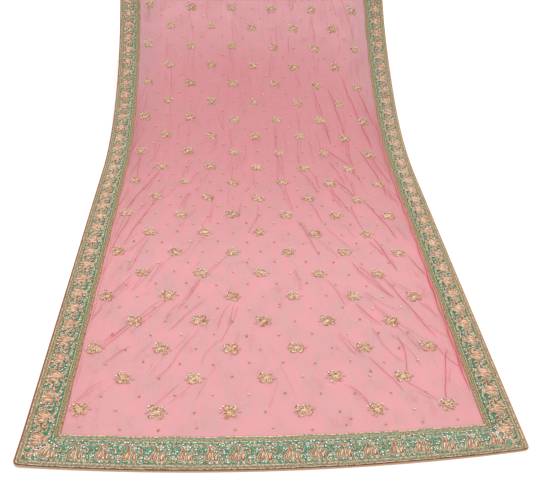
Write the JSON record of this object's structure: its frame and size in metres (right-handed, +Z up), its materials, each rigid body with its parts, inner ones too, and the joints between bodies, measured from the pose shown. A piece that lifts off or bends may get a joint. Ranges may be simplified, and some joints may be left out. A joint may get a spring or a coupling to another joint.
{
  "type": "dupatta stole on a rod",
  "caption": "Sheer pink dupatta stole with sprig embroidery and green paisley borders, laid flat at its near end and swept up over a plain round rod.",
  "frame": {"origin": "the middle of the axis of the rod that the stole hangs over", "axes": "+Z up, +Y from the near end on the floor towards the rod, +X to the right seen from the near end; the floor is at z = -0.6102"},
  "size_m": [1.04, 1.9257, 0.6259],
  "materials": {
    "net": "sheer pink net with gilt sprigs",
    "border": "green ground closely stitched in copper-beige cord",
    "binding": "rolled gold-ochre binding",
    "rod": "plain pale dowel"
  },
  "bodies": {
    "root": {"net_panel": "net", "border_near": "border", "border_far": "border", "border_left": "border", "border_right": "border", "binding_near": "binding", "binding_far": "binding", "binding_left": "binding", "binding_right": "binding", "rod": "rod"}
  },
  "joints": []
}
